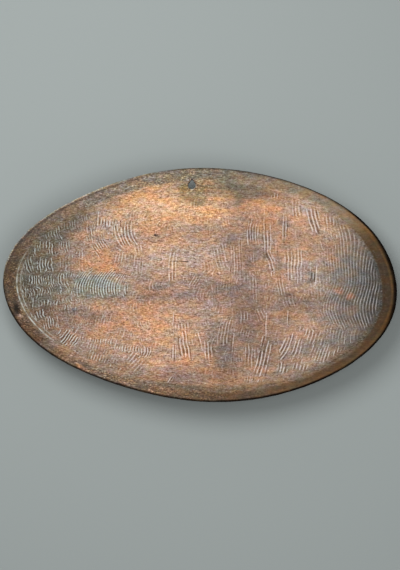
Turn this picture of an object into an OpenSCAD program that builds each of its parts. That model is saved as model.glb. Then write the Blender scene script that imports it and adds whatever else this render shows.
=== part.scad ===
// Carved wooden dish, worked from one block of wood.
// A shallow egg-shaped hollow inside a plain smooth rim, a rounded outside with a flat
// resting face, and one hole through the wall, near the rim, to hang it by.
// X runs along the dish, with the blunt end at +X and the slim end at -X. Y runs across
// it, with the hanging hole on the +Y side. Z is up. The origin lies in the resting face,
// under the middle of the dish's own box.

/* [Outline] */
// Length over the rim
bowl_l = 520; // [420:5:640]
// Width over the rim
bowl_w = 310; // [250:5:380]
// Fullness of the blunt end against the slim end, as a share of the radius
egg = 0.064; // [0:0.002:0.12]
// How far the outline is drawn in at its diagonals, as a share of the radius
slim = 0.014; // [0:0.002:0.04]
// How far one long side's belly lies ahead of the other's, as a share of the radius
lean = 0.014; // [0:0.002:0.03]
// Fullness of the side away from the hanging hole, as a share of the radius
side_swell = 0.0035; // [0:0.0005:0.01]
// Depth of the hand-cut flats along the edge, as a share of the radius
flats = 0.0045; // [0:0.0005:0.01]
// Direction of the soft corner between two flats, in degrees from +X
flats_turn = -23; // [-60:1:60]

/* [Rim] */
// Height over the rim, at its two ends
bowl_h = 62; // [50:1:90]
// How much lower the rim is along its sides than at its ends
rim_dip = 4; // [0:0.5:10]
// Width of the plain band, from the hollow's edge to the outer edge
rim_w = 17; // [12:0.5:28]
// How far the band falls from the hollow's edge to the outer edge
rim_fall = 3; // [0:0.5:6]
// Thickness of the rounded outer edge
lip_t = 8; // [5:0.5:12]

/* [Hollow and outside] */
// Wood under the middle of the hollow
floor_t = 13; // [8:0.5:20]
// Steepness of the hollow: a higher value is a flatter floor with a steeper wall
hollow_power = 2.4; // [2:0.1:3.4]
// Length of the flat resting face
base_l = 200; // [150:5:260]
// Width of the flat resting face
base_w = 100; // [70:5:140]
// Roundness of the outside: 1 is straight from the resting face to the lip
outside_power = 1.28; // [1:0.02:1.5]

/* [Hanging hole] */
// Diameter of the bore
hole_d = 10; // [6:0.5:14]
// Distance from the rim's outer edge to the bore's middle
hole_in = 23; // [20:0.5:34]
// Direction of the hole from the middle of the dish, in degrees from +X
hole_at = 92.5; // [80:0.5:110]
// Diameter of the notch that a hanging cord has worn towards the rim
notch_d = 5; // [3:0.5:5.5]
// How far the notch reaches past the bore's edge
notch_reach = 2; // [1:0.25:2.5]

/* [Hidden] */

segments = 96;          // points round the outline
hollow_rings = 12;      // rings from the middle of the hollow to its edge
lip_rings = 6;          // rings round the lip's outer edge
outside_rings = 9;      // rings from the lip down to the resting face
bore_fn = 64;
cut = 1;                // how far a cutter runs past what it cuts
wood = [0.62, 0.42, 0.29];

// The outline's radius at angle a, on a circle of radius 1.
function swell(a) = 1
    + egg * pow(sin(a), 2) * cos(a)
    - slim * pow(sin(2 * a), 2)
    - lean * sin(2 * a)
    - side_swell * sin(3 * a)
    + flats * cos(6 * (a - flats_turn));

// The outline as cut, and the same outline set in a box from -1 to 1 both ways.
raw = [for (i = [0 : segments - 1]) let (a = 360 * i / segments)
    swell(a) * [cos(a), sin(a)]];
low = [min([for (p = raw) p.x]), min([for (p = raw) p.y])];
high = [max([for (p = raw) p.x]), max([for (p = raw) p.y])];
function boxed(p) = [
    (2 * p.x - low.x - high.x) / (high.x - low.x),
    (2 * p.y - low.y - high.y) / (high.y - low.y)];

// A point of that outline, scaled to a length and a width.
function fit_to(p, l, w) = [boxed(p).x * l / 2, boxed(p).y * w / 2];

// The rim's outer edge, set in by a distance all round.
function edge(p, inset) = fit_to(p, bowl_l - 2 * inset, bowl_w - 2 * inset);

// Height of the rim: it stands highest at the two ends.
function rim_z(p) = bowl_h - rim_dip * (1 - pow(boxed(p).x, 2));

// The lip is a half round that ends below the band's outer line.
lip_r = lip_t / 2;
function lip_inset(t) = lip_r * (1 - sin(t));
function lip_drop(t) = rim_fall + lip_r * (1 - cos(t));

// Rings, from the hollow's middle over the rim and down to the resting face.
hollow = [for (k = [1 : hollow_rings]) let (s = k / hollow_rings)
    [for (p = raw) let (q = edge(p, rim_w))
        [s * q.x, s * q.y, floor_t + (rim_z(p) - floor_t) * pow(s, hollow_power)]]];

band = [for (s = [0.35, 0.7]) [for (p = raw)
    let (q = edge(p, rim_w + (lip_r - rim_w) * s))
        [q.x, q.y, rim_z(p) - rim_fall * pow(s, 2)]]];

lip = [for (k = [0 : lip_rings]) let (t = 180 * k / lip_rings)
    [for (p = raw) let (q = edge(p, lip_inset(t)))
        [q.x, q.y, rim_z(p) - lip_drop(t)]]];

outside = [for (k = [1 : outside_rings]) let (s = 1 - k / outside_rings)
    [for (p = raw)
        let (top = edge(p, lip_inset(180)), foot = fit_to(p, base_l, base_w),
             q = foot + (top - foot) * s)
        [q.x, q.y, (rim_z(p) - lip_drop(180)) * pow(s, outside_power)]]];

rings = concat(hollow, band, lip, outside);
ring_count = len(rings);

// Point numbers: one in the middle of the hollow, then the rings, then one underneath.
function number(k, i) = 1 + k * segments + i % segments;
under = 1 + ring_count * segments;

body_points = concat([[0, 0, floor_t]], [for (r = rings) each r], [[0, 0, 0]]);
body_faces = concat(
    [for (i = [0 : segments - 1]) [0, number(0, i + 1), number(0, i)]],
    [for (k = [0 : ring_count - 2]) for (i = [0 : segments - 1]) each [
        [number(k, i), number(k, i + 1), number(k + 1, i + 1)],
        [number(k, i), number(k + 1, i + 1), number(k + 1, i)]]],
    [for (i = [0 : segments - 1])
        [under, number(ring_count - 1, i), number(ring_count - 1, i + 1)]]);

// The hanging hole lies on the line from the middle to the edge at its own angle.
hole_dir = swell(hole_at) * [cos(hole_at), sin(hole_at)];
hole_pos = edge(hole_dir, hole_in);
notch_out = hole_d / 2 + notch_reach - notch_d / 2;

// The bore, and the notch worn from it towards the rim.
module hanging_hole() {
    translate([hole_pos.x, hole_pos.y, -cut])
        cylinder(d = hole_d, h = bowl_h + 2 * cut, $fn = bore_fn);
    translate([hole_pos.x, hole_pos.y + notch_out, -cut])
        cylinder(d = notch_d, h = bowl_h + 2 * cut, $fn = bore_fn);
}

module bowl() {
    color(wood)
        difference() {
            polyhedron(points = body_points, faces = body_faces, convexity = 6);
            hanging_hole();
        }
}

bowl();
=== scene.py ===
"""A carved wooden dish: one block of wood with a gouged hollow, a plain rim and a hanging hole.

Lengths are in metres, in the CAD part's frame: +X towards the blunt end, +Y towards the hanging
hole, +Z up. In the tables, places and lengths are in mm on the dish's own surface and turns are
in degrees.
"""
import math

import bpy
import numpy as np
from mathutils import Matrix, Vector


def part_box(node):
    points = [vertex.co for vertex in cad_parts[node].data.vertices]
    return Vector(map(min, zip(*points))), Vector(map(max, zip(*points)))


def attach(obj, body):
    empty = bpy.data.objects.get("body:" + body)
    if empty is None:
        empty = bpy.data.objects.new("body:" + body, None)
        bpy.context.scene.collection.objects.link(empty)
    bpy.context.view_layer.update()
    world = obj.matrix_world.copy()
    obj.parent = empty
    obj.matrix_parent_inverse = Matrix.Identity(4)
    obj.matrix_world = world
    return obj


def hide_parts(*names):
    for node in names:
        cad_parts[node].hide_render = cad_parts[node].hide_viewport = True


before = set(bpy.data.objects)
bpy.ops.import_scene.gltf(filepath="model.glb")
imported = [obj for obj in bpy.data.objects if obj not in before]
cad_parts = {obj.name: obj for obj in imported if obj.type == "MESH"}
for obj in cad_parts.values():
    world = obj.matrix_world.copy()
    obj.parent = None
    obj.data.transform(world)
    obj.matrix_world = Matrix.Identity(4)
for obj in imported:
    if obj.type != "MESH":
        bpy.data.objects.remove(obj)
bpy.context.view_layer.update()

# -------- sizes
MM = 0.001
_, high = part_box("bowl")
HALF_L, HALF_W, HEIGHT = high.x, high.y, high.z

# The outline's shape, as shares of its radius, and the section: the CAD part's own values.
EGG, SLIM, LEAN, SIDE_SWELL = 0.064, 0.014, 0.014, 0.0035
FLATS, FLATS_TURN = 0.0045, math.radians(-23)
RIM_W, RIM_FALL, RIM_DIP, LIP_R = 17 * MM, 3 * MM, 4 * MM, 4 * MM
FLOOR, HOLLOW_POWER = 13 * MM, 2.4
BASE_L, BASE_W, OUTSIDE_POWER = 100 * MM, 50 * MM, 1.28
HOLE_X, HOLE_Y, HOLE_R = -10.64 * MM, 131.74 * MM, 5 * MM
NOTCH_R, NOTCH_OUT = 2.5 * MM, 4.5 * MM

GRID_U, GRID_V = 520, 120  # quads along and across the hollow
BAND_SHARES = (0.05, 0.2, 0.4, 0.6, 0.8)  # where the rings of the rim band lie across it
LIP_RINGS, OUTSIDE_RINGS = 8, 20
BASE_SHARES = (0.84, 0.67, 0.5, 0.34, 0.17)  # where the rings of the flat underside lie
EDGE_ROUND = 5 * MM  # how softly the hollow turns into the rim band
FLAT_SHARE = 0.36  # how much of the way out to the lip the flat underside takes up
BAND_SINK = 0.7 * MM  # how far the rim band is worn down, except round the slim end

FLUTE_PITCH = 4.0 * MM  # spacing of the gouge marks
FINE_PITCH = 3.5 * MM  # the same at the slim end
WAVE_PITCH = 3.6 * MM  # the same for the long wavy lines of the blunt end
FLUTE_DEPTH = 0.4 * MM
SCOOP_L, SCOOP_W, SCOOP_DEPTH = 30 * MM, 17 * MM, 1.1 * MM  # adze scoops on the outside

INSECT_X, INSECT_Y, INSECT_R = -60 * MM, 66.7 * MM, 1.2 * MM
INSECT_LOW, INSECT_HIGH = 15 * MM, 40 * MM  # the insect's hole stays above the underside
CUT_PAST = 10 * MM  # how far a cutter runs past what it cuts


# -------- small helpers
def smooth(x):
    """0 below 0, 1 above 1, and an S between them."""
    x = np.clip(x, 0, 1)
    return x * x * (3 - 2 * x)


def rise(value, start, length):
    """0 up to the start, then 1 from this length past it. Both are in mm."""
    return smooth((value - start * MM) / (length * MM))


def fall(value, end, length):
    """1 until this length before the end, then 0 from the end on. Both are in mm."""
    return smooth((end * MM - value) / (length * MM))


def turned(x, y, x0, y0, turn):
    """Coordinates about a point, on axes turned by an angle in degrees."""
    c, s = math.cos(math.radians(turn)), math.sin(math.radians(turn))
    dx, dy = x - x0 * MM, y - y0 * MM
    return dx * c + dy * s, dy * c - dx * s


def spot(x, y, x0, y0, rx, ry, turn=0.0, soft=1.0):
    """A round patch: 1 in the middle, 0 from one radius out. A low soft gives it a firm edge."""
    p, q = turned(x, y, x0, y0, turn)
    return smooth((1 - np.hypot(p / (rx * MM), q / (ry * MM))) / soft)


def noise(x, y, cell_x, cell_y, seed):
    """Smooth value noise from -1 to 1, with cells of this size in mm."""
    table = np.random.default_rng(seed).uniform(-1, 1, (256, 256))
    gx, gy = x / (cell_x * MM) + 1000, y / (cell_y * MM) + 1000
    ix, iy = np.floor(gx).astype(int), np.floor(gy).astype(int)
    fx, fy = smooth(gx - ix), smooth(gy - iy)

    def at(i, j):
        return table[(ix + i) % 256, (iy + j) % 256]
    return ((at(0, 0) * (1 - fx) + at(1, 0) * fx) * (1 - fy)
            + (at(0, 1) * (1 - fx) + at(1, 1) * fx) * fy)


def layered(x, y, cell_x, cell_y, seed):
    """Three sizes of noise on top of each other."""
    return (noise(x, y, cell_x, cell_y, seed)
            + 0.5 * noise(x, y, cell_x / 2.1, cell_y / 2.1, seed + 1)
            + 0.25 * noise(x, y, cell_x / 4.3, cell_y / 4.3, seed + 2)) / 1.4


def screen(rgb):
    """8-bit screen colours as linear light."""
    c = np.asarray(rgb, float) / 255
    return np.where(c <= 0.04045, c / 12.92, ((c + 0.055) / 1.055) ** 2.4)


def blend(colour, tone, share):
    """Moves each row of colour towards a screen colour by its own share."""
    return colour + (screen(tone) - colour) * np.clip(share, 0, 1)[:, None]


def add_object(name, data):
    """A new object in the scene."""
    obj = bpy.data.objects.new(name, data)
    bpy.context.scene.collection.objects.link(obj)
    return obj


def by_direction(a, table):
    """A table of (degrees, value or values) read at each direction."""
    degrees = np.array([row[0] for row in table], float)
    values = np.array([row[1] for row in table], float).reshape(len(table), -1)
    found = [np.interp(np.degrees(a), degrees, column, period=360) for column in values.T]
    return found[0] if len(found) == 1 else np.stack(found, -1)


# -------- outline and section
def swell(a):
    """The outline's radius in direction a, on a circle of radius 1."""
    return (1 + EGG * np.sin(a) ** 2 * np.cos(a) - SLIM * np.sin(2 * a) ** 2
            - LEAN * np.sin(2 * a) - SIDE_SWELL * np.sin(3 * a)
            + FLATS * np.cos(6 * (a - FLATS_TURN)))


def outline_table():
    """Directions and radii of the outline, set in a box from -1 to 1 both ways."""
    a = np.linspace(-math.pi, math.pi, 1440, endpoint=False)
    xy = np.stack([swell(a) * np.cos(a), swell(a) * np.sin(a)], 1)
    xy = (2 * xy - xy.min(0) - xy.max(0)) / (xy.max(0) - xy.min(0))
    direction = np.arctan2(xy[:, 1], xy[:, 0])
    order = np.argsort(direction)
    return direction[order], np.hypot(xy[:, 0], xy[:, 1])[order]


OUTLINE_DIR, OUTLINE_RAD = outline_table()


def reach(a):
    """How far the outline reaches in direction a, in a box from -1 to 1 both ways."""
    return np.interp(a, OUTLINE_DIR, OUTLINE_RAD, period=2 * math.pi)


def edge(a, inset):
    """The rim's outer edge in direction a, set in by a distance."""
    return (HALF_L - inset) * reach(a) * np.cos(a), (HALF_W - inset) * reach(a) * np.sin(a)


def where(x, y):
    """(share of the way from the middle to the hollow's edge, direction)."""
    u, v = x / (HALF_L - RIM_W), y / (HALF_W - RIM_W)
    a = np.arctan2(v, u)
    return np.hypot(u, v) / reach(a), a


def inset_of(x, y):
    """Distance in from the rim's outer edge, close to true near the edge."""
    r = np.hypot(x / HALF_L, y / HALF_W)
    a = np.arctan2(y / HALF_W, x / HALF_L)
    ex, ey = reach(a) * np.cos(a), reach(a) * np.sin(a)
    slope = np.hypot(ex / HALF_L, ey / HALF_W)
    return (reach(a) - r) * reach(a) / slope


def rim_z(a):
    """Height of the hollow's edge, which stands highest at the two ends."""
    return HEIGHT - RIM_DIP * (1 - (reach(a) * np.cos(a)) ** 2)


def slim_end(a):
    """1 round the slim end, where the hollow's edge is cut as a crisp step."""
    off = np.abs(np.angle(np.exp(1j * (a - math.radians(190)))))
    return smooth((math.radians(38) - off) / math.radians(16))


def soft_min(p, q, k):
    """The lower of two heights, with the corner between them rounded."""
    h = np.clip(0.5 + 0.5 * (q - p) / k, 0, 1)
    return q * (1 - h) + p * h - k * h * (1 - h)


def top_z(s, a, band_share):
    """Height of the hollow and the rim band: whichever is lower, with a rounded corner."""
    hollow = FLOOR + (rim_z(a) - FLOOR) * s ** HOLLOW_POWER
    band = rim_z(a) - RIM_FALL * np.clip(band_share, 0, 1) ** 2
    return soft_min(hollow, band, EDGE_ROUND * (1 - 0.9 * slim_end(a)))


# -------- gouge marks in the hollow
# Each row of marks: (x, y, length of the row, length of its lines, turn of the row in degrees,
# bow of the lines, strength). Lengths in mm; a positive bow makes the lines bulge backwards.
ROWS = [
    # the slim end
    (-174, -18, 18, 14, 10, 3, 0.6), (-203, 49, 30, 20, 0, 1, 0.9), (-204, 28, 26, 20, 3, 1, 0.9),
    (-213, 6, 30, 14, 2, 0.5, 1), (-208, -9, 50, 13, 4, -2, 0.95), (-205, -24, 46, 12, 0, 0, 0.8),
    (-174, 30, 36, 24, -2, 1, 0.5), (-196, 68, 30, 20, 12, 1, 0.7), (-180, 50, 22, 16, 8, 1, 0.6),
    (-181, 8, 26, 18, 4, 2, 0.8), (-186, -30, 30, 14, 0, 1, 0.6), (-214, -42, 22, 13, 20, 1, 0.7),
    (-229, 26, 18, 22, 10, 1, 0.55), (-230, -8, 16, 24, 0, 1, 0.6), (-200, -50, 20, 16, 10, 0, 0.8),
    (-137, 72, 16, 20, -8, 2, 0.95), (-132, 51, 22, 20, 32, 0, 0.9), (-146, 58, 14, 14, 10, 0, 0.8),
    (-149, 75, 14, 14, 0, 1, 0.7), (-119, 83, 40, 10, -4, 0, 1.2), (-99, 66, 42, 38, 14, 5, 1),
    (-82, 48, 14, 20, 10, 0, 0.6), (-84, 30, 20, 32, -4, 0, 0.5), (-172, 78, 30, 14, 8, 1, 0.4),
    (-152, 88, 26, 12, 14, 1, 0.35), (-160, 40, 18, 14, 0, 0, 0.5),
    # the side away from the hole
    (-172, -72, 30, 18, -35, 0, 1), (-132, -74, 60, 8, -8, 1, 0.75), (-96, -84, 36, 9, -8, 1, 0.9),
    (-70, -89, 18, 20, -8, -4, 1), (-86, -100, 32, 30, -40, -2, 0.55), (-128, -97, 40, 12, -20, 0, 0.6),
    (-114, -108, 30, 9, -24, 0, 0.6), (-94, -121, 44, 9, -15, 0, 0.55), (-21, -81, 15, 34, 9, 0, 1),
    (-36, -89, 8, 22, -2, 0, 0.85), (-35, -46, 4, 22, -4, -2, 0.9), (-24, -55, 20, 9, 5, 0, 0.6),
    (0, -74, 9, 34, 14, 0, 0.75), (11, -86, 14, 20, 6, 0, 0.8), (33, -62, 22, 40, -12, 2, 0.6),
    (44, -78, 7, 34, -4, 0, 0.7), (-41, -126, 6, 20, -30, -1, 1), (84, -103, 15, 54, -15, 0, 0.95),
    (69, -92, 18, 26, -2, 0, 0.5), (88, -52, 6, 36, -2, 0, 0.6), (115, -78, 17, 36, -25, -2, 1),
    (130, -80, 16, 30, -18, -1, 0.75), (111, -110, 18, 18, -14, 0, 0.95), (132, -108, 28, 18, -20, 0, 0.7),
    (66, -126, 44, 10, -8, 0, 0.4),
    # the middle
    (-37, 26, 16, 32, -4, 1, 0.75), (6, 23, 16, 22, 2, 0, 0.4), (-6, 7, 13, 20, -30, 0, 0.7),
    (-17, 20, 12, 12, 0, 0, 0.5), (30, 34, 20, 34, 14, 0, 0.5), (46, 26, 24, 60, 2, 0, 0.5),
    (10, 70, 18, 20, 0, 0, 0.35), (71, -3, 14, 34, 2, 0, 0.5), (95, 18, 10, 10, 0, 0, 0.7),
    (59, -43, 18, 14, 0, 0, 0.5), (117, -43, 8, 18, 0, 0, 0.75), (70, 70, 16, 26, -2, 1.5, 0.7),
    (90, 62, 11, 48, 2, 0, 0.85), (94, 34, 10, 26, 22, 0, 1), (101, 50, 8, 36, 4, 1, 0.5),
    (114, 74, 9, 34, 0, 0, 0.65), (126, 25, 28, 48, 0, 0, 0.65), (112, -4, 22, 34, 12, 0, 0.5),
    (150, 10, 11, 22, -4, 0, 0.9), (102, 118, 14, 10, -4, 0, 0.6),
    # the blunt end
    (149, 87, 15, 38, 17, 1, 1), (168, 82, 24, 36, 8, 1, 0.65), (127, 103, 16, 26, 6, 0, 0.6),
    (156, 2, 30, 34, 2, 0, 0.45), (144, -68, 38, 22, -18, 0, 0.7), (158, -93, 40, 26, -19, 0, 0.75),
    (184, -92, 34, 24, -15, 0, 0.55), (184, -66, 44, 24, -13, 1, 0.6), (212, -72, 26, 30, -11, 0, 0.55),
    (180, 52, 36, 22, 10, 0, 0.3), (148, 62, 22, 16, 4, 0, 0.3)]
FAINT_ROWS = 240  # short worn rows between the clear ones
FINE_BEFORE = -130  # rows that lie before this x, in mm, have the slim end's spacing

WAVE_X, WAVE_REACH = 178 * MM, 62 * MM  # where the long wavy lines of the blunt end begin
WAVE_Y, WAVE_SPAN = -29 * MM, 78 * MM  # middle and length of their swing
WAVE_SWING = (13 * MM, 6 * MM)  # how far they swing, inside and at the rim

ARC_X, ARC_Y = -138 * MM, 1 * MM  # middle of the long arcs of the slim end
ARC_ROW, ARC_HALF = 38 * MM, 18 * MM  # half the row's length, half a line's length
ARC_BOW, ARC_LEAN = 7 * MM, 0.32  # how far a line bulges back, and leans forward


def row_marks(x, y, row):
    """(phase, window) of one row of gouge marks: a line lies where the phase is whole."""
    x0, y0, along, across, turn, bow, strength = row
    p, q = turned(x, y, x0, y0, turn)
    seed = int(abs(x0 * 7 + y0 * 3)) % 997
    q = q + 0.12 * across * MM * noise(p, 0 * p, 3.6, 9, seed + 1)
    side = np.clip(np.abs(q) / (across * MM / 2), 0, 1.3)
    pitch = (FINE_PITCH if x0 < FINE_BEFORE else FLUTE_PITCH) * (0.88 + 0.04 * (seed % 7))
    phase = (p - bow * MM * side ** 2) / pitch
    fray = 0.30 * noise(x, y, 5, 3, seed) + 0.42 * noise(p, 0 * p, 2.4, 9, seed + 2)
    ends = smooth((1.05 - np.abs(p) / (along * MM / 2) + fray) / 0.3)
    sides = smooth((1.05 - side + fray) / 0.35)
    return phase, strength * ends * sides


def wavy_marks(x, y):
    """The long lines that follow the blunt end, with one deep swing below its middle."""
    inward = np.clip((x - WAVE_X) / WAVE_REACH, -0.4, 1)
    swing = WAVE_SWING[0] + (WAVE_SWING[1] - WAVE_SWING[0]) * np.clip(inward, 0, 1)
    turn = np.clip((y - WAVE_Y) / WAVE_SPAN, -0.5, 0.5)
    bend = swing * 0.5 * (1 + np.cos(2 * math.pi * turn)) + 1.2 * MM * np.sin(y / (13 * MM))
    lean = (0.16 - 0.34 * rise(x, 185, 56)) * np.maximum(y - 18 * MM, 0)
    window = rise(x, 140, 36) * rise(y, -88, 18) * fall(y, 104, 26)
    clear = 0.42 + 0.14 * rise(x, 190, 35)
    return (x + bend + lean) / WAVE_PITCH, clear * window


def arc_marks(x, y):
    """The row of long arcs in the middle of the slim end, with tops that lean forward."""
    p, q = x - ARC_X, y - ARC_Y - 2 * MM * noise(x, 0 * x, 9, 9, 27)
    phase = (p - ARC_BOW * (q / ARC_HALF) ** 2 - ARC_LEAN * q) / FINE_PITCH
    along = p - ARC_LEAN * q
    fray = 0.2 * noise(x, y, 5, 3, 28) + 0.3 * noise(along, 0 * p, 2.4, 9, 29)
    ends = smooth((1.05 - np.abs(along) / ARC_ROW + fray) / 0.3)
    q = q * (1 + 0.25 * noise(along, 0 * p, 8, 9, 30))
    return phase, ends * smooth((1.05 - np.abs(q) / ARC_HALF + fray) / 0.35)


def faint_rows():
    """Short worn rows all over the hollow, in the same form as the clear ones."""
    rng = np.random.default_rng(5)
    rows = []
    for _ in range(FAINT_ROWS):
        r, a = math.sqrt(rng.uniform(0, 0.8)), rng.uniform(0, 2 * math.pi)
        place = (round(235 * r * math.cos(a)), round(128 * r * math.sin(a)))
        size = (rng.uniform(12, 34), rng.uniform(8, 20))
        rows.append((*place, *size, rng.uniform(-22, 22), rng.uniform(-1, 3), rng.uniform(0.1, 0.45)))
    return rows


def gouge_marks(x, y, s):
    """(phase, strength) of the gouge marks at each point of the hollow."""
    phase, best = wavy_marks(x, y)
    arcs, arc_strength = arc_marks(x, y)
    phase, best = np.where(arc_strength > best, arcs, phase), np.maximum(arc_strength, best)
    second = np.zeros_like(best)
    jitter = 0.18 * noise(x, y, 16, 11, 21) + 0.12 * noise(x, y, 5, 7, 22)
    phase = phase + 0.5 * jitter
    slim = fall(x, -130, 40)
    jitter += 0.28 * slim * noise(x, y, 5, 3.0, 25)
    for row in ROWS + faint_rows():
        x0, y0, along, across = row[:4]
        far = 0.75 * MM * math.hypot(along, across)
        near = np.flatnonzero(np.hypot(x - x0 * MM, y - y0 * MM) < far)
        p, w = row_marks(x[near], y[near], row)
        ahead = w > best[near]
        second[near] = np.maximum(second[near], np.where(ahead, best[near], w))
        phase[near] = np.where(ahead, p + jitter[near], phase[near])
        best[near] = np.maximum(best[near], w)
    strength = best * smooth((best - second) / (0.25 * best + 1e-6))
    worn = 0.78 + 0.42 * noise(x, y, 9, 7, 23) + 0.20 * noise(x, y, 3.5, 5, 24)
    worn += 0.5 * slim * noise(x, y, 7, 3.4, 26)
    return phase, strength * np.clip(worn, 0.1, 1) * smooth((0.99 - s) / 0.032)


# -------- wear and damage
# Chips, a rotted knot and deep cuts: (x, y, radius along, radius across, turn, depth).
PITS = [
    (-164, -101.5, 3.0, 2.0, -30, 1.3), (-157, -105, 2.6, 1.8, -28, 1.2),
    (-241, -36, 3.2, 5.0, 20, 2.2), (-236, -45, 3.0, 2.2, 0, 1.2), (-107, -130, 2.4, 1.6, -20, 1.2),
    (87, 40, 3.0, 9, 8, 0.5), (120, -15, 3.0, 2.0, 0, 0.8), (-226, 62, 4.0, 2.4, 40, 0.8),
    (236, -62, 5.0, 3.0, -55, 0.9)]


def unevenness(x, y):
    """Depth of the slow waves that a hand tool leaves."""
    slow = 0.55 * layered(x, y, 60, 38, 31) + 0.20 * layered(x, y, 17, 12, 34)
    fine = 0.10 * layered(x, y, 6, 2.2, 37)
    return (0.65 + slow + fine) * MM


def scoops(x, y):
    """Adze scoops on the outside: 0 on the ridges between them, 1 in their middles."""
    gx, gy = x / SCOOP_L, y / SCOOP_W
    row = np.floor(gy)
    nearest = np.full_like(x, 9.0)
    table = np.random.default_rng(41).uniform(-0.32, 0.32, (64, 64, 2))
    for dj in (-1, 0, 1):
        j = row + dj
        shift = 0.5 * (j % 2)
        for di in (-1, 0, 1):
            i = np.floor(gx - shift) + di
            jitter = table[i.astype(int) % 64, j.astype(int) % 64]
            dx = gx - shift - i - 0.5 - jitter[..., 0]
            dy = gy - j - 0.5 - jitter[..., 1]
            nearest = np.minimum(nearest, dx * dx + dy * dy)
    return 1 - np.clip(nearest / 0.45, 0, 1)


def hole_gap(x, y):
    """Distance from the wall of the hanging hole, below 0 inside it."""
    return np.minimum(np.hypot(x - HOLE_X, y - HOLE_Y) - HOLE_R,
                      np.hypot(x - HOLE_X, y - HOLE_Y - NOTCH_OUT) - NOTCH_R)


def worn_hole(x, y):
    """How far the wood is worn down round the hanging hole."""
    return 1.4 * MM * np.exp(-np.clip(hole_gap(x, y), 0, None) / (1.6 * MM))


# -------- the dish's mesh
def rim_rings(a):
    """Rings from just outside the hollow's edge to the start of the lip."""
    rings = []
    for share in BAND_SHARES:
        x, y = edge(a, RIM_W + (LIP_R - RIM_W) * share)
        s, _ = where(x, y)
        rings.append((x, y, top_z(s, a, share) - BAND_SINK * (1 - slim_end(a))))
    return rings


def lip_and_outside_rings(a):
    """Rings round the lip, down the outside, and over the flat underside."""
    rings = []
    outer = rim_z(a) - RIM_FALL
    for t in np.linspace(0, math.pi, LIP_RINGS):
        x, y = edge(a, LIP_R * (1 - math.sin(t)))
        rings.append((x, y, outer - LIP_R * (1 - math.cos(t))))
    top_x, top_y = edge(a, LIP_R)
    top = outer - 2 * LIP_R
    foot_x, foot_y = BASE_L * reach(a) * np.cos(a), BASE_W * reach(a) * np.sin(a)
    for s in np.linspace(1, 0, OUTSIDE_RINGS)[1:]:
        x, y = foot_x + (top_x - foot_x) * s, foot_y + (top_y - foot_y) * s
        rings.append((x, y, top * s ** OUTSIDE_POWER))
    for s in BASE_SHARES:
        rings.append((foot_x * s, foot_y * s, np.zeros_like(a)))
    return rings


def hollow_grid():
    """Points and quads of the hollow, and the point numbers and directions round its edge."""
    across, along = np.linspace(-1, 1, GRID_V + 1), np.linspace(-1, 1, GRID_U + 1)
    u, v = np.meshgrid(along, across, indexing="ij")
    du, dv = u * np.sqrt(1 - v * v / 2), v * np.sqrt(1 - u * u / 2)
    s, a = np.hypot(du, dv), np.arctan2(dv, du)
    x, y = edge(a, RIM_W)
    points = np.stack([x * s, y * s, top_z(s, a, 0 * s)], -1).reshape(-1, 3)
    index = np.arange(len(points)).reshape(GRID_U + 1, GRID_V + 1)
    corners = [index[:-1, :-1], index[1:, :-1], index[1:, 1:], index[:-1, 1:]]
    loop = np.concatenate([index[:-1, 0], index[-1, :-1], index[:0:-1, -1], index[0, :0:-1]])
    return points, np.stack(corners, -1).reshape(-1, 4), loop, a.reshape(-1)[loop]


def joined(loop, ring):
    """Faces between one ring of points and the next, which may hold only every second point."""
    ahead = np.roll(ring, -1)
    if len(ring) < len(loop):
        return np.stack([loop[::2], ring, ahead, np.roll(loop[::2], -1), loop[1::2]], -1)
    return np.stack([loop, ring, ahead, np.roll(loop, -1)], -1)


def dish_shape():
    """Points, faces and side (0 on top, 1 outside) of the closed dish before any carving."""
    grid, quads, loop, a = hollow_grid()
    points, faces, side = [grid], [quads], [np.zeros(len(grid))]
    count = len(grid)
    rings = [(ring, 0.0) for ring in rim_rings(a)] + [(ring, 1.0) for ring in lip_and_outside_rings(a)]
    for number, (ring, ring_side) in enumerate(rings):
        coarse = number >= len(BAND_SHARES) + LIP_RINGS
        ring = np.stack(ring, -1)[::2 if coarse else 1]
        here = count + np.arange(len(ring))
        faces.append(joined(loop, here))
        points.append(ring)
        side.append(np.full(len(ring), ring_side))
        count += len(ring)
        loop = here
    points.append(np.zeros((1, 3)))
    side.append(np.ones(1))
    faces.append(np.stack([loop, np.full(len(loop), count), np.roll(loop, -1)], -1))
    face_list = [face for part in faces for face in part.tolist()]
    return np.concatenate(points), face_list, np.concatenate(side)


def read(mesh, what):
    """One vector per vertex: its place ("co") or its "normal"."""
    values = np.empty(len(mesh.vertices) * 3, np.float32)
    mesh.vertices.foreach_get(what, values)
    return values.reshape(-1, 3).astype(float)


def depth_on_top(x, y):
    """Depth of the gouge marks, the slow waves, the chips and the wear round the hole."""
    s, _ = where(x, y)
    phase, strength = gouge_marks(x, y, s)
    groove = 4 * (phase % 1) * (1 - phase % 1)
    depth = FLUTE_DEPTH * strength * groove + unevenness(x, y) + worn_hole(x, y)
    for x0, y0, rx, ry, turn, pit_depth in PITS:
        depth += pit_depth * MM * spot(x, y, x0, y0, rx * 1.3, ry * 1.3, turn)
    return depth


def depth_outside(x, y, z, lip):
    """Depth of the adze scoops, which fade out on the lip and on the flat underside."""
    off_base = rise(z, 0, 4)
    scooped = SCOOP_DEPTH * scoops(x, y) * (1 - 0.85 * lip) * (0.1 + 0.9 * off_base)
    return scooped + (0.12 * MM + 0.08 * MM * layered(x, y, 7, 3, 47)) + worn_hole(x, y)


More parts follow.
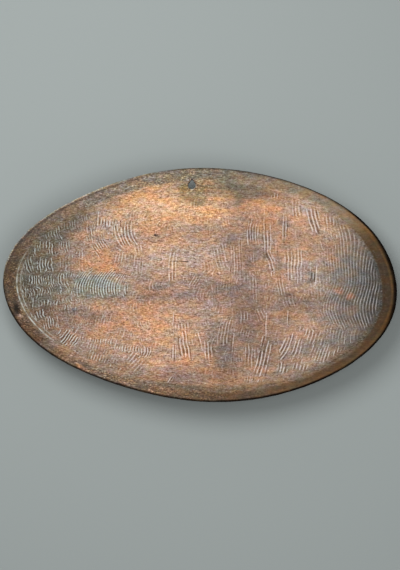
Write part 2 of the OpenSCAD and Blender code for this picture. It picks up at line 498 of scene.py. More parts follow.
def carve(points, side, normals):
    """Sinks every point into the wood by what the tools and the years took away."""
    x, y, z = points.T
    lip = fall(inset_of(x, y), 6, 6)
    top = np.maximum(depth_on_top(x, y) * (1 - 0.75 * lip), 0.05 * MM)
    outside = np.maximum(depth_outside(x, y, z, lip), 0.02 * MM)
    carved = points - normals * np.where(side > 0.5, outside, top)[:, None]
    carved[:, 2] = np.maximum(carved[:, 2], 0)
    return carved


def cylinder(name, x, y, r, z0, z1, count):
    """A closed upright cylinder, which cuts a hole."""
    t = np.linspace(0, 2 * math.pi, count, endpoint=False)
    rims = [np.stack([x + r * np.cos(t), y + r * np.sin(t), np.full(count, z)], 1) for z in (z0, z1)]
    sides = [(i, (i + 1) % count, count + (i + 1) % count, count + i) for i in range(count)]
    ends = [tuple(range(count))[::-1], tuple(range(count, 2 * count))]
    mesh = bpy.data.meshes.new(name)
    mesh.from_pydata(np.concatenate(rims).tolist(), [], sides + ends)
    return add_object(name, mesh)


def cut_away(obj, tools):
    """Cuts the tools out of the object, and removes them."""
    for tool in tools:
        modifier = obj.modifiers.new("cut", "BOOLEAN")
        modifier.operation, modifier.solver, modifier.object = "DIFFERENCE", "EXACT", tool
    bpy.context.view_layer.update()
    graph = bpy.context.evaluated_depsgraph_get()
    mesh = bpy.data.meshes.new_from_object(obj.evaluated_get(graph))
    obj.modifiers.clear()
    obj.data = mesh
    for tool in tools:
        bpy.data.objects.remove(tool)


def make_dish():
    """The carved dish as one closed mesh with its three holes."""
    points, faces, side = dish_shape()
    mesh = bpy.data.meshes.new("carved_bowl")
    mesh.from_pydata(points.tolist(), [], faces)
    mesh.update()
    carved = carve(points, side, read(mesh, "normal"))
    mesh.vertices.foreach_set("co", carved.astype(np.float32).ravel())
    mesh.update()
    dish = add_object("carved_bowl", mesh)
    through = (-CUT_PAST, HEIGHT + CUT_PAST)
    cut_away(dish, [
        cylinder("bore", HOLE_X, HOLE_Y, HOLE_R, *through, 48),
        cylinder("notch", HOLE_X, HOLE_Y + NOTCH_OUT, NOTCH_R, *through, 32),
        cylinder("insect_hole", INSECT_X, INSECT_Y, INSECT_R, INSECT_LOW, INSECT_HIGH, 12)])
    dish.data.polygons.foreach_set("use_smooth", np.ones(len(dish.data.polygons), bool))
    return dish


# -------- colour zones
HONEY, ORANGE, TAN, ROSE = (236, 183, 138), (200, 143, 103), (181, 145, 121), (152, 124, 110)
BROWN, UMBER, DARK, BLACK = (122, 98, 82), (94, 70, 52), (60, 45, 35), (22, 16, 12)
GREY_BROWN, GREEN, OLIVE, SLATE = (126, 114, 104), (130, 132, 120), (142, 126, 92), (84, 82, 78)
MAUVE, RUST, DUST_AND_HIGHLIGHT, PAINTED_SHEEN = (138, 112, 114), (196, 124, 82), (178, 172, 158), (252, 202, 158)
SAND, MUD, CLAY, PALE = (160, 117, 88), (104, 94, 78), (132, 107, 93), (202, 174, 155)
MOSS, HIGHLIGHT_GOLD, FOLD_TONE = (104, 100, 76), (112, 80, 42), (84, 70, 50)
DASH_TONE, GROOVE_TONE = (140, 122, 118), (158, 142, 132)
DUST_TONE, INCISED_TONE = (214, 208, 202), (196, 200, 192)

# Painted in this order: (x, y, radius along, radius across, turn, colour, strength, softness if
# it isn't 1).
ZONES = [
    # the bright side, towards the hanging hole: warm wood under a broad painted highlight
    (-56, 108, 112, 44, 5, HONEY, 1.0, 0.8), (18, 98, 40, 26, -8, HONEY, 0.8, 0.8),
    (-48, 106, 36, 22, 0, PAINTED_SHEEN, 0.6), (-18, 84, 30, 18, 0, PAINTED_SHEEN, 0.35),
    (112, 96, 92, 34, -8, ORANGE, 0.9, 0.8), (-12, 92, 32, 24, 0, HONEY, 0.7),
    (-66, 56, 60, 30, 0, ORANGE, 0.45), (150, 62, 42, 36, -20, ORANGE, 0.75, 0.8),
    (92, 106, 44, 18, 0, HONEY, 0.5), (-130, 30, 36, 21, 0, ORANGE, 0.75, 0.7),
    # the warm side away from the hole, lighter along a second painted highlight, and the brightest patch
    # of the other
    (-88, -52, 116, 48, -4, ORANGE, 0.45, 0.8), (-24, -74, 40, 34, 0, HONEY, 0.25),
    (-60, -58, 50, 26, 0, HONEY, 0.3), (10, -114, 80, 22, 0, SAND, 0.7),
    (-60, -108, 34, 14, -10, HONEY, 0.3), (118, -42, 40, 12, 0, ORANGE, 0.5, 0.8),
    (-26, -104, 36, 13, 0, ORANGE, 0.55), (-34, 113, 26, 15, 0, PAINTED_SHEEN, 0.5),
    # the grey-brown middle, with pale and brown patches all round it
    (112, 24, 70, 60, 0, ROSE, 0.35), (24, -8, 140, 30, -1, ROSE, 0.9, 0.9),
    (64, 20, 28, 98, 0, ROSE, 0.8), (-72, -15, 52, 12, 0, CLAY, 0.8),
    (62, -44, 44, 62, 0, CLAY, 0.95, 0.9), (34, -92, 26, 42, 0, CLAY, 0.9, 0.7),
    (27, -80, 20, 38, 0, GREY_BROWN, 0.4, 0.35), (84, -92, 60, 44, 0, CLAY, 0.75),
    (16, -66, 22, 48, 0, CLAY, 0.5), (46, 50, 44, 40, 60, ROSE, 0.4), (66, 34, 24, 34, 0, CLAY, 0.5),
    (-14, 44, 60, 34, 0, PALE, 0.4), (-112, 76, 52, 30, 0, PALE, 0.75), (118, -20, 84, 20, -3, CLAY, 0.8),
    (-62, 40, 56, 34, 0, PALE, 0.65), (32, -116, 38, 24, 0, BROWN, 0.45),
    (122, 88, 44, 24, -20, PALE, 0.5), (52, -74, 52, 48, 0, BROWN, 0.32), (-30, 17, 30, 13, 0, PALE, 0.5),
    (92, -74, 26, 26, 0, BROWN, 0.65), (60, -104, 34, 18, 0, BROWN, 0.35),
    (112, -42, 26, 13, 0, CLAY, 0.7), (26, -32, 26, 12, 0, MAUVE, 0.35),
    (-126, -50, 26, 14, 0, MAUVE, 0.35), (-104, -66, 36, 15, 0, BROWN, 0.22),
    (-155, 58, 18, 14, 0, CLAY, 0.4), (-30, -5, 24, 8, 0, PALE, 0.35), (-154, 96, 18, 10, 14, PALE, 0.35),
    (80, -92, 20, 16, 0, BROWN, 0.3), (146, 92, 20, 16, -20, PALE, 0.5),
    (-20, -15, 66, 10, 0, MAUVE, 0.35), (162, 4, 36, 22, 0, PALE, 0.8),
    # the slim end
    (-146, -2, 66, 30, 0, GREEN, 0.9, 0.8), (-112, 1, 34, 12, 0, DUST_AND_HIGHLIGHT, 0.3),
    (-220, 4, 70, 100, 0, MUD, 0.95, 0.7), (-190, 76, 76, 34, 34, MUD, 0.85, 0.7),
    (-196, -60, 64, 22, -40, BROWN, 0.6), (-172, -50, 56, 28, -12, CLAY, 0.8),
    (-160, -36, 34, 16, -6, CLAY, 0.6), (-112, -106, 110, 18, -24, BROWN, 0.4),
    (-132, -42, 30, 11, 0, SLATE, 0.6), (-169, -32, 6, 6, 0, SLATE, 0.9, 0.8),
    (-116, -15, 28, 9, 0, SLATE, 0.4), (-194, -32, 32, 13, 0, BROWN, 0.7),
    (-186, -60, 24, 10, -30, BROWN, 0.5), (-122, -100, 34, 14, -20, BROWN, 0.35),
    (-138, 101, 26, 12, 14, PALE, 0.55), (-166, 45, 22, 18, 0, CLAY, 0.5),
    (-227, -4, 20, 30, 0, DARK, 0.6), (-226, 40, 18, 18, 0, UMBER, 0.6),
    (-206, -36, 20, 13, 0, UMBER, 0.8), (-176, -69, 20, 12, -30, UMBER, 0.25),
    (-176, -20, 18, 8, 0, GREY_BROWN, 0.4),
    # the blunt end's grey, and the patches where it gives way
    (206, 4, 90, 104, 0, GREY_BROWN, 0.95, 0.8), (230, -8, 54, 96, 0, SLATE, 1.0),
    (204, -38, 46, 40, 0, SLATE, 0.8), (176, -84, 90, 42, 24, GREY_BROWN, 0.9, 0.8),
    (190, -28, 50, 36, 0, SLATE, 0.4), (229, -12, 22, 62, 0, DARK, 0.5), (224, -64, 18, 16, 0, DARK, 0.5),
    (216, 58, 16, 16, 0, PALE, 0.3), (119, -7, 16, 10, 0, PALE, 0.35), (214, -44, 24, 20, 0, UMBER, 0.2),
    (160, 0, 28, 20, 0, PALE, 0.45), (168, 64, 28, 30, -10, GREY_BROWN, 0.4), (116, -62, 40, 40, 0, ROSE, 0.5),
    (172, -32, 54, 15, -4, ROSE, 0.5, 0.8), (152, 34, 30, 34, 0, PALE, 0.45),
    (160, 40, 30, 14, 10, ORANGE, 0.5, 0.9), (140, 104, 48, 26, -22, PALE, 0.85),
    (128, 26, 18, 40, 0, PALE, 0.5), (150, -100, 46, 18, 26, PALE, 0.6), (166, 74, 40, 26, -30, PALE, 0.5),
    (185, -8, 12, 7, 0, RUST, 0.4, 0.9), (199, -16, 9, 6, 0, RUST, 0.4, 0.9),
    (100, -30, 80, 9, -2, BROWN, 0.6),
    # round the hanging hole and along the side beyond it
    (150, 112, 70, 12, -26, OLIVE, 0.4, 0.8), (8, 150, 116, 20, 0, OLIVE, 0.75, 0.6),
    (-22, 133, 12, 15, 0, OLIVE, 0.4, 0.6), (-8, 122, 25, 17, 0, OLIVE, 0.65, 0.4),
    (28, 134, 34, 22, 0, OLIVE, 0.4, 0.8), (26, 119, 24, 15, 0, HONEY, 0.4),
    (56, 130, 60, 24, 0, MOSS, 0.6, 0.8), (84, 120, 40, 11, 0, BROWN, 0.5, 0.9),
    (50, 116, 10, 20, 0, MOSS, 0.35, 0.8), (-9, 131, 24, 18, 0, MOSS, 0.25, 0.6),
    (28, 117, 20, 11, 0, HONEY, 0.4, 0.8), (-32, 113, 16, 10, 20, PAINTED_SHEEN, 0.3, 0.8),
    # stains, dark marks and other small patches
    (-58, -2, 24, 9, 0, SLATE, 0.45), (34, -4, 44, 11, 0, SLATE, 0.5), (-52, 12, 90, 8, 0, BROWN, 0.2),
    (44, 60, 16, 12, 0, SLATE, 0.5), (-6, 80, 30, 16, 20, ROSE, 0.35), (121, -15, 7, 5, 0, BLACK, 0.7),
    (88, 39, 4, 12, 14, BLACK, 0.6), (149, 11, 9, 14, 0, SLATE, 0.75, 0.8),
    (114, 73, 6, 22, 0, GREY_BROWN, 0.6, 0.6), (107, 86, 5, 10, 0, CLAY, 0.5, 0.6),
    (70, 70, 9, 14, 0, GREY_BROWN, 0.4, 0.7), (112, -110, 12, 9, 0, DUST_AND_HIGHLIGHT, 0.35, 0.8),
    (175, 33, 14, 10, 0, ORANGE, 0.45, 0.8), (70, -48, 20, 14, 0, MAUVE, 0.5),
    (-40, -118, 50, 12, 0, MAUVE, 0.7), (96, -58, 20, 8, 0, BROWN, 0.5), (110, -44, 60, 6, 0, BROWN, 0.3),
    (-60, 67, 3, 3, 0, BLACK, 0.9, 0.8)]

# Dark and light places on the rim band itself, in the same form.
RIM_SPOTS = [
    (-242, -31, 7, 11, 10, BLACK, 0.9, 0.7), (-236, -41, 6, 3, -20, PALE, 0.6, 0.8),
    (-107, -131, 7, 4, -20, BLACK, 0.8, 0.8), (-156, -108, 14, 4, -28, SAND, 0.6, 0.8),
    (-160, -106, 6, 2.6, -30, ORANGE, 0.7, 0.6), (-151, -106, 7, 1.8, -12, DARK, 0.7, 0.7),
    (-214, -66, 26, 9, -38, UMBER, 0.5), (-130, -122, 22, 6, -22, BROWN, 0.4),
    (-222, 72, 22, 6, 42, UMBER, 0.5)]

# The rim band's colour by direction from the middle, in degrees.
RIM_TONES = [
    (-180, (78, 62, 47)), (-165, (90, 69, 51)), (-150, (104, 82, 65)), (-135, (124, 100, 80)),
    (-115, (126, 102, 83)), (-105, (128, 103, 82)), (-85, (100, 78, 58)), (-60, (98, 74, 50)),
    (-35, (84, 62, 40)), (-15, (72, 54, 36)), (10, (72, 54, 36)), (25, (84, 64, 40)),
    (32, (118, 96, 66)), (40, (142, 123, 100)), (70, (132, 114, 97)), (90, (114, 103, 89)),
    (112, (124, 108, 92)), (130, (122, 104, 88)), (150, (98, 79, 64)), (170, (70, 56, 43))]

# Where the rim band's colour ends, in mm from the outer edge.
BAND_WIDTHS = [
    (-180, 17), (-150, 16), (-120, 13), (-95, 15.5), (-75, 14), (-60, 12.5), (-38, 13), (-26, 16.5),
    (0, 20.5), (25, 19), (45, 14), (90, 15), (103, 18), (125, 17), (140, 16), (160, 17)]

# The hollow's own outer margin, inside the rim band: (degrees, (red, green, blue, strength)).
MARGIN_TONES = [
    (-180, (104, 95, 78, 0.6)), (-150, (134, 112, 92, 0.6)), (-115, (140, 116, 96, 0.5)),
    (-90, (118, 94, 72, 0.6)), (-60, (112, 90, 68, 0.5)), (-35, (94, 78, 62, 0.7)),
    (-15, (66, 61, 54, 0.9)), (10, (70, 65, 58, 0.9)), (35, (112, 98, 82, 0.5)),
    (50, (150, 128, 106, 0.3)), (80, (130, 116, 98, 0.3)), (110, (134, 116, 96, 0.3)),
    (130, (126, 110, 94, 0.55)), (150, (108, 98, 82, 0.6))]

# How strong the dark fold just inside the band is.
FOLD = [
    (-180, 0), (-112, 0), (-98, 0.65), (-78, 0.6), (-60, 0.4), (-28, 0.5), (-15, 0), (180, 0)]

# How rough and chipped the band is, with light flecks and dark pits.
GRIT = [
    (-180, 0.9), (-165, 0.8), (-150, 0.5), (-135, 0.7), (-115, 0.9), (-85, 0.6), (-60, 0), (70, 0),
    (90, 0.6), (125, 0.6), (148, 0.5), (165, 0.8)]

# How clearly the incised lines round the slim end show.
INCISED = [
    (-180, 0.8), (-176, 1), (-158, 1), (-151, 0.7), (-144, 0), (156, 0), (164, 0.35), (175, 0.6)]

# How strong the black line on the outer edge is (dark patina deepened by painted shade), and where that
# edge has a pale painted highlight instead.
SHADED_EDGE = [
    (-180, 0.75), (-150, 0.9), (-90, 0.9), (-60, 1), (0, 1.2), (40, 1), (80, 0.6), (110, 0.4),
    (125, 0.1), (160, 0.1)]
LIT_EDGE = [(-179, 0), (95, 0), (118, 1), (165, 1), (178, 0)]

# Where the band is worn smooth.
CALM_BAND = [(-180, 0), (-110, 0), (-80, 0.6), (-50, 1), (40, 1), (70, 0.3), (90, 0)]


def painted(x, y):
    """The hollow's colour: a base and then each zone over it, with ragged edges."""
    wx = x + 5 * MM * layered(x, y, 16, 11, 61) + 2 * MM * noise(x, y, 5, 3, 64)
    wy = y + 4 * MM * layered(x, y, 18, 12, 71) + 2 * MM * noise(x, y, 5, 3, 74)
    colour = np.tile(screen(TAN), (len(x), 1))
    for x0, y0, rx, ry, turn, tone, strength, *soft in ZONES:
        colour = blend(colour, tone, strength * spot(wx, wy, x0, y0, rx, ry, turn, *soft))
    return colour


def band_width(a):
    """How far in from the outer edge the rim band's colour reaches."""
    return by_direction(a, BAND_WIDTHS) * MM


def rim_colour(colour, x, y, a, inset):
    """Lays the hollow's margin, the rim band and the fold between them over the colour."""
    ragged = inset + 1.6 * MM * layered(x, y, 14, 10, 81)
    margin = by_direction(a, MARGIN_TONES)
    margin_share = margin[:, 3] * fall(ragged, 40, 26)
    colour = blend(colour, margin[:, :3], margin_share)
    width = band_width(a)
    band_share = 0.94 * smooth((width + 1.5 * MM - ragged) / (3 * MM))
    colour = blend(colour, by_direction(a, RIM_TONES), band_share)
    fold = by_direction(a, FOLD) * np.exp(-((ragged - width - 3 * MM) / (3.5 * MM)) ** 2)
    colour = blend(colour, FOLD_TONE, fold)
    for x0, y0, rx, ry, turn, tone, strength, *soft in RIM_SPOTS:
        colour = blend(colour, tone, strength * spot(x, y, x0, y0, rx, ry, turn, *soft))
    return colour


def edge_colour(colour, x, y, a, inset):
    """Paints light and shade on the outer edge: painted highlights, and a black line of dark patina
    deepened by painted shade; tells how strong that line is.
    """
    far_side = smooth((-a - 0.6) / 0.5) * smooth((a + 3.05) / 0.2)
    width = 2.3 + 2.0 * smooth((np.cos(a) - 0.7) / 0.3)
    width = (width + far_side * (0.8 + 0.7 * noise(x, y, 9, 7, 85))) * MM
    # painted highlight: a golden line along the blunt end's edge
    edge_highlight = smooth((width + 5 * MM - inset) / (3 * MM)) * smooth((np.cos(a) - 0.55) / 0.3)
    colour = blend(colour, HIGHLIGHT_GOLD, 0.5 * edge_highlight)
    # painted shade: the black line on the outer edge, over dark patina, faint on the upper left
    line = smooth((width + 0.5 * MM - inset) / (1.0 * MM)) * by_direction(a, SHADED_EDGE)
    colour = blend(colour, BLACK, line)
    # the upper left's edge gets a pale painted highlight, with a dark line just inside it
    lit_side = by_direction(a, LIT_EDGE)
    under = lit_side * np.exp(-((inset - 4 * MM) / (1.1 * MM)) ** 2)
    colour = blend(colour, DARK, 0.8 * under)
    pale = lit_side * fall(inset, 2.4, 1.0)
    return blend(colour, DUST_AND_HIGHLIGHT, 0.8 * pale), line


def outside_colour(x, y, z):
    """Dark smoked wood, paler on the ridges between scoops and where it rests."""
    ridge = 1 - scoops(x, y)
    colour = np.tile(screen(UMBER), (len(x), 1))
    colour = blend(colour, BROWN, 0.5 + 0.5 * layered(x, y, 40, 22, 91))
    colour = blend(colour, DARK, 0.6 * rise(z, 0, 50))
    worn_ridge = ridge ** 4 * rise(z, 0, 5) * (1 - rise(z, 0, 55))
    colour = blend(colour, ORANGE, 0.26 * worn_ridge)
    return blend(colour, CLAY, 0.35 * fall(z, 2.5, 2.0))


def hole_colour(colour, x, y, on_top, in_hole):
    """Colours the hanging hole's wall, with a pale painted highlight on its lower-right side and painted
    shade on its upper-left, and paints shade on the wood round its mouth.
    """
    # the wall's lower-right side gets a pale painted highlight, its upper-left side painted shade
    dust_and_highlight = smooth((x - y - HOLE_X + HOLE_Y) / HOLE_R)[:, None]
    wall = screen(DARK) * (1 - dust_and_highlight) + screen(DUST_AND_HIGHLIGHT) * dust_and_highlight
    colour = np.where(in_hole[:, None], wall, colour)
    # painted shade on the wood just round the hole's mouth
    gap = np.hypot(x - HOLE_X, y - HOLE_Y) - HOLE_R
    near = on_top * ~in_hole * np.exp(-np.clip(gap, 0, None) / (1.2 * MM))
    return blend(colour, DARK, 0.5 * near)


def sides_of(x, y, z):
    """Which vertices lie on the top, and which on the walls of the hanging hole."""
    s, a = where(x, y)
    share = np.hypot(x / (HALF_L - LIP_R), y / (HALF_W - LIP_R)) / reach(a)
    up = np.clip((share - FLAT_SHARE) / (1 - FLAT_SHARE), 0, 1)
    outer = rim_z(a) - RIM_FALL
    under = (outer - 2 * LIP_R) * up ** OUTSIDE_POWER
    over = np.where(s < 1, top_z(np.minimum(s, 1), a, 0 * s), outer)
    on_top = z > np.where(s < 1.04, (under + over) / 2, outer - LIP_R)
    return on_top, hole_gap(x, y) < 0.02 * MM


def put(mesh, name, values):
    """Stores one value or one colour per vertex for the material."""
    values = np.asarray(values, np.float32)
    if values.ndim == 1:
        mesh.attributes.new(name, "FLOAT", "POINT").data.foreach_set("value", values)
    else:
        whole = np.concatenate([values, np.ones((len(values), 1), np.float32)], 1)
        mesh.attributes.new(name, "FLOAT_COLOR", "POINT").data.foreach_set("color", whole.ravel())


def put_wear(mesh, x, y, a, inset, on_top, line, strength):
    """Stores how calm, gritty, shiny and satin the wood is, and where dust lies."""
    on_band = smooth((band_width(a) + 1.5 * MM - inset) / (3 * MM))
    calm_band = by_direction(a, CALM_BAND) * on_band
    long_lines = 0.65 * rise(x, 150, 50) * rise(inset, 18, 6)
    middle = 0.3 * rise(x, 10, 50)
    put(mesh, "calm", np.maximum(np.maximum(calm_band, long_lines), middle) * on_top)
    round_hole = 0.8 * spot(x, y, -6, 132, 40, 30)
    put(mesh, "grit", np.maximum(by_direction(a, GRIT) * on_band, round_hole) * on_top)
    put(mesh, "shine", np.where(on_top, 1 - 0.9 * line, 1) * (1 - 0.5 * calm_band))
    put(mesh, "dust_and_highlight", on_top * rise(inset, 8, 10))
    rim = fall(inset, 15, 6)
    put(mesh, "satin", np.where(on_top, 0.25 + 0.6 * rim - 0.2 * strength, 0.45))


def paint(dish):
    """Stores the dish's colours, marks and wear on its vertices."""
    mesh = dish.data
    x, y, z = read(mesh, "co").T
    s, a = where(x, y)
    inset = inset_of(x, y)
    on_top, in_hole = sides_of(x, y, z)
    phase, strength = gouge_marks(x, y, s)
    colour, line = edge_colour(rim_colour(painted(x, y), x, y, a, inset), x, y, a, inset)
    colour = np.where(on_top[:, None], colour, outside_colour(x, y, z))
    put(mesh, "tone", hole_colour(colour, x, y, on_top, in_hole))
    put(mesh, "phase", phase)
    put(mesh, "marks", strength * on_top)
    put(mesh, "cool", fall(x, -60, 60))
    put(mesh, "incised", by_direction(a, INCISED) * on_top)
    put(mesh, "inset", inset / MM)
    put_wear(mesh, x, y, a, inset, on_top, line, strength)


# -------- the wood's material
class Graph:
    """A short way to write a material's node tree."""

    def __init__(self, name):
        self.material = bpy.data.materials.new(name)
        self.material.use_nodes = True
        self.tree = self.material.node_tree
        self.shader = self.tree.nodes["Principled BSDF"]
        self.place = self.add("ShaderNodeTexCoord").outputs["Object"]

    def add(self, kind, **settings):
        """A new node with these settings."""
        node = self.tree.nodes.new(kind)
        for key, value in settings.items():
            setattr(node, key, value)
        return node

    def feed(self, node, slot, value):
        """Puts a plain value or another node's output into an input."""
        socket = node.inputs[slot]
        if isinstance(value, bpy.types.NodeSocket):
            self.tree.links.new(value, socket)
        else:
            socket.default_value = value

    def attribute(self, name, output="Fac"):
        return self.add("ShaderNodeAttribute", attribute_name=name).outputs[output]

    def math(self, operation, *values):
        node = self.add("ShaderNodeMath", operation=operation)
        for slot, value in enumerate(values):
            self.feed(node, slot, value)
        return node.outputs[0]

    def times(self, first, *others):
        """The product of two or more values."""
        for other in others:
            first = self.math("MULTIPLY", first, other)
        return first

    def away(self, value, middle):
        """How far a value lies from a middle one, either way."""
        return self.math("ABSOLUTE", self.math("SUBTRACT", value, middle))

    def step(self, value, low, high, out_low=0.0, out_high=1.0):
        """Runs smoothly from one value to another as the input goes from low to high."""
        node = self.add("ShaderNodeMapRange", interpolation_type="SMOOTHSTEP")
        for slot, item in enumerate((value, low, high, out_low, out_high)):
            self.feed(node, slot, item)
        return node.outputs[0]

    def grain(self, along, across, detail, shift):
        """Noise drawn out along the grain: about 0 to 1, with cells of this size in mm."""
        mapping = self.add("ShaderNodeMapping")
        self.feed(mapping, "Vector", self.place)
        self.feed(mapping, "Scale", (1 / (along * MM), 1 / (across * MM), 1 / (across * MM)))
        self.feed(mapping, "Location", (shift, shift * 1.7, shift * 0.6))
        noise_node = self.add("ShaderNodeTexNoise")
        self.feed(noise_node, "Vector", mapping.outputs[0])
        self.feed(noise_node, "Scale", 1.0)
        self.feed(noise_node, "Detail", detail)
        return noise_node.outputs["Fac"]

    def hairline(self, x, y, length, width, turn):
        """1 along a short crack with its middle at (x, y), sizes in mm, turned by degrees."""
        mapping = self.add("ShaderNodeMapping", vector_type="TEXTURE")
        self.feed(mapping, "Vector", self.place)
        self.feed(mapping, "Location", (x * MM, y * MM, 0))
        self.feed(mapping, "Rotation", (0, 0, math.radians(turn)))
        parts = self.add("ShaderNodeSeparateXYZ")
        self.feed(parts, "Vector", mapping.outputs[0])
        along = self.step(self.math("ABSOLUTE", parts.outputs["X"]), length / 2 * MM, length / 3 * MM)
        across = self.step(self.math("ABSOLUTE", parts.outputs["Y"]), width * MM, width / 4 * MM)
        return self.times(along, across)

    def mix(self, share, a, b, blend_type="MIX"):
        node = self.add("ShaderNodeMix", data_type="RGBA", blend_type=blend_type)
        for slot, value in ((0, share), (6, a), (7, b)):
            self.feed(node, slot, value)
        return node.outputs[2]


def rgba(colour):
    """A screen colour in the form a node takes."""
    return (*screen(colour), 1.0)


def grey(level):
    """The same factor for red, green and blue."""
    return (level, level, level, 1.0)


def shade(level):
    """A factor that warms the wood where it darkens it and cools it where it lightens it."""
    return (1 + 0.78 * (level - 1), level, 1 + 1.27 * (level - 1), 1.0)


WHITE_LINE, COOL_LINE = (0.70, 0.67, 0.66, 1), (0.66, 0.75, 0.74, 1)
COOL_CAST, WARM_CAST = (0.86, 0.97, 1.11, 1), (1.12, 1.00, 0.83, 1)
ROSE_CAST, GREEN_CAST = (1.025, 0.97, 1.04, 1), (0.975, 1.03, 0.95, 1)
CHIP_LIFT, RIDGE_LIFT = (2.7, 2.75, 2.7, 1), (1.6, 1.66, 1.72, 1)
OUTER_LINE, INNER_LINE = 18.8, 23.4  # how far in the incised lines lie, in mm


class Wood(Graph):
    """The dish's wood: its painted colour, and what each method below lays over it."""

    def __init__(self, name):
        super().__init__(name)
        self.colour = self.attribute("tone", "Color")
        self.calm, self.marks = self.attribute("calm"), self.attribute("marks")
        # 0 in the middle of a groove, 0.5 on the ridge between two
        self.ridge = self.away(self.math("FRACT", self.attribute("phase")), 0.5)
        self.fine, self.hair = self.grain(5.0, 1.5, 2, 11.0), self.grain(11, 0.8, 2, 19.0)
        self.dash, self.mottle = self.grain(5.0, 1.4, 1, 29.0), self.grain(10, 7, 3, 53.0)

    def lay(self, share, other, blend_type="MIX"):
        """Lays another colour, or a factor to multiply by, over the colour so far."""
        self.colour = self.mix(share, self.colour, other, blend_type)

    def vary(self, share, pattern, low, high):
        """Multiplies the colour by one factor where a pattern is low, another where high."""
        self.lay(share, self.mix(pattern, low, high), "MULTIPLY")

    def clouds(self):
        """Broad patches of warmer, paler and greener wood."""
        self.vary(1.0, self.step(self.grain(24, 11, 4, 5.0), 0.34, 0.66), COOL_CAST, WARM_CAST)
        self.vary(1.0, self.step(self.grain(60, 7, 2, 3.0), 0.34, 0.66), grey(0.92), grey(1.08))
        self.vary(1.0, self.step(self.grain(9, 6, 2, 97.0), 0.36, 0.64), ROSE_CAST, GREEN_CAST)

    def fibres(self):
        """Short fibres, dark dashes, and pale flecks with dust on them."""
        rough = self.math("SUBTRACT", 1.0, self.times(self.calm, 0.65))
        speck, fleck = self.grain(1.8, 1.8, 1, 37.0), self.grain(3.2, 1.4, 1, 41.0)
        self.vary(rough, self.step(self.fine, 0.28, 0.72), shade(0.62), shade(1.42))
        self.vary(rough, self.step(speck, 0.28, 0.72), shade(0.72), shade(1.30))
        self.vary(rough, self.hair, shade(0.80), shade(1.20))
        self.vary(1.0, self.mottle, grey(0.76), grey(1.28))
        dark_dash = self.times(rough, self.step(self.dash, 0.58, 0.70, 0, 0.75))
        self.lay(dark_dash, rgba(DASH_TONE), "MULTIPLY")
        light_fleck = self.times(rough, self.step(fleck, 0.58, 0.72))
        self.lay(light_fleck, shade(1.5), "MULTIPLY")
        self.lay(self.times(light_fleck, self.attribute("dust_and_highlight"), 0.18), rgba(DUST_TONE))

    def chips(self):
        """Light chips and dark pits on the rim, and one short crack in the hollow."""
        patches = self.step(self.grain(13, 8, 2, 71.0), 0.40, 0.60, 0.35, 1)
        rough = self.times(self.attribute("grit"), patches)
        grit = self.grain(2.3, 1.5, 1, 83.0)
        self.lay(self.times(rough, self.step(grit, 0.53, 0.66)), CHIP_LIFT, "MULTIPLY")
        self.lay(self.times(rough, self.step(grit, 0.46, 0.36)), grey(0.44), "MULTIPLY")
        self.lay(self.hairline(-21, 31.6, 14, 0.9, -4), rgba(DARK))

    def gouges(self):
        """Painted shade in the grooves and pale lines on the ridges, partly painted highlight and partly
        pale dust; the lines are broken up where the wood isn't calm.
        """
        # painted shade down the middle of each groove
        groove = self.times(self.marks, self.step(self.ridge, 0.32, 0.12))
        self.lay(self.times(groove, 0.8), rgba(GROOVE_TONE), "MULTIPLY")
        unbroken = self.step(self.grain(3.5, 6, 2, 67.0), 0.28, 0.46, 0.3, 1)
        unbroken = self.math("MAXIMUM", unbroken, self.calm)
        # painted highlight, with pale dust, along each ridge
        light = self.times(self.marks, unbroken, self.step(self.ridge, 0.28, 0.42))
        bright = self.step(light, 0.0, 0.8)
        self.lay(bright, RIDGE_LIFT, "MULTIPLY")
        highlight_and_dust = self.mix(self.attribute("cool"), WHITE_LINE, COOL_LINE)
        self.lay(self.times(bright, 0.60), highlight_and_dust)

    def incised_lines(self):
        """Two fine pale lines cut round the slim end, just inside the rim band."""
        shown, inset = self.attribute("incised"), self.attribute("inset")
        outer = self.times(shown, self.step(self.away(inset, OUTER_LINE), 1.2, 0.4))
        inner = self.times(shown, self.step(self.away(inset, INNER_LINE), 0.9, 0.2), 0.65)
        worn = self.step(self.mottle, 0.38, 0.56, 0.25, 1)
        self.lay(self.times(self.math("MAXIMUM", outer, inner), worn, 0.95), rgba(INCISED_TONE))

    def surface(self):
        """The wood's sheen and its fine relief."""
        dull = self.math("SUBTRACT", 0.78, self.times(self.attribute("satin"), 0.22))
        uneven = self.times(self.math("SUBTRACT", self.fine, 0.5), 0.25)
        self.feed(self.shader, "Roughness", self.math("ADD", dull, uneven))
        self.feed(self.shader, "Specular IOR Level", self.times(self.attribute("shine"), 0.25))
        height = self.math("ADD", self.times(self.fine, 0.30), self.times(self.hair, 0.12))
        height = self.math("SUBTRACT", height, self.times(self.step(self.dash, 0.58, 0.70), 0.12))
        raised = self.times(self.marks, self.step(self.ridge, 0.1, 0.5), 0.35)
        bump = self.add("ShaderNodeBump")
        self.feed(bump, "Distance", 0.8 * MM)
        self.feed(bump, "Strength", 0.6)
        self.feed(bump, "Height", self.math("ADD", height, raised))
        self.feed(self.shader, "Normal", bump.outputs[0])


def wood_material():
    """The finished wood, from the broad patches to the finest lines."""
    wood = Wood("carved_wood")
    wood.clouds()
    wood.fibres()
    wood.chips()
    wood.gouges()
    wood.incised_lines()
    wood.feed(wood.shader, "Base Color", wood.colour)
    wood.surface()
    return wood.material


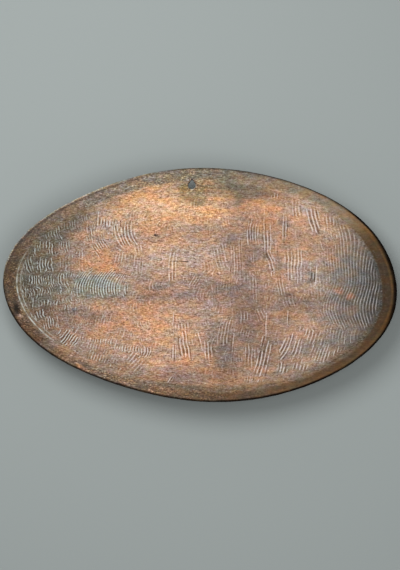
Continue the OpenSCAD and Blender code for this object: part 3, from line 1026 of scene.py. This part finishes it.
# -------- camera, light and floor
LENS, VIEW_END = 135, 20  # in mm and in metres
CAMERA_Z = 0.052 + 2.822  # about the rim's height, and the camera's distance above it
LAMP_TARGET = (0, 0, 0.03)
KEY = (-0.40, 0.60, 1.35), 0.9, 13.5  # place, size and watts
FILL = (0.45, -0.35, 2.2), 1.6, 15
SKY_STRENGTH = 0.28
FLOOR_HALF, FLOOR_COLOUR, FLOOR_ROUGH = 6, (0.335, 0.372, 0.365, 1), 0.9


def make_camera():
    """A long lens straight above the dish."""
    data = bpy.data.cameras.new("camera")
    data.lens, data.clip_end = LENS, VIEW_END
    camera = add_object("camera", data)
    camera.location = (0, 0, CAMERA_Z)
    bpy.context.scene.camera = camera


def area_light(name, place, size, watts):
    """A round lamp that faces the dish."""
    data = bpy.data.lights.new(name, "AREA")
    data.shape, data.size, data.energy = "DISK", size, watts
    lamp = add_object(name, data)
    lamp.location = place
    facing = Vector(LAMP_TARGET) - lamp.location
    lamp.rotation_euler = facing.to_track_quat("-Z", "Y").to_euler()


def make_world():
    """Even white light from all round."""
    world = bpy.data.worlds.new("world")
    bpy.context.scene.world = world
    world.use_nodes = True
    sky = world.node_tree.nodes["Background"]
    sky.inputs["Color"].default_value = (1, 1, 1, 1)
    sky.inputs["Strength"].default_value = SKY_STRENGTH


def make_floor():
    """A plain matt floor, which belongs to the picture and not to the part."""
    corners = [(FLOOR_HALF * i, FLOOR_HALF * j, 0) for i, j in ((-1, -1), (1, -1), (1, 1), (-1, 1))]
    mesh = bpy.data.meshes.new("floor")
    mesh.from_pydata(corners, [], [(0, 1, 2, 3)])
    floor = add_object("floor", mesh)
    g = Graph("floor")
    g.feed(g.shader, "Base Color", FLOOR_COLOUR)
    g.feed(g.shader, "Roughness", FLOOR_ROUGH)
    mesh.materials.append(g.material)


make_camera()
make_floor()
make_world()
area_light("key", *KEY)
area_light("fill", *FILL)
bpy.context.scene.view_settings.view_transform = "Standard"

dish = make_dish()
paint(dish)
dish.data.materials.clear()
dish.data.materials.append(wood_material())
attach(dish, "root")
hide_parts("bowl")
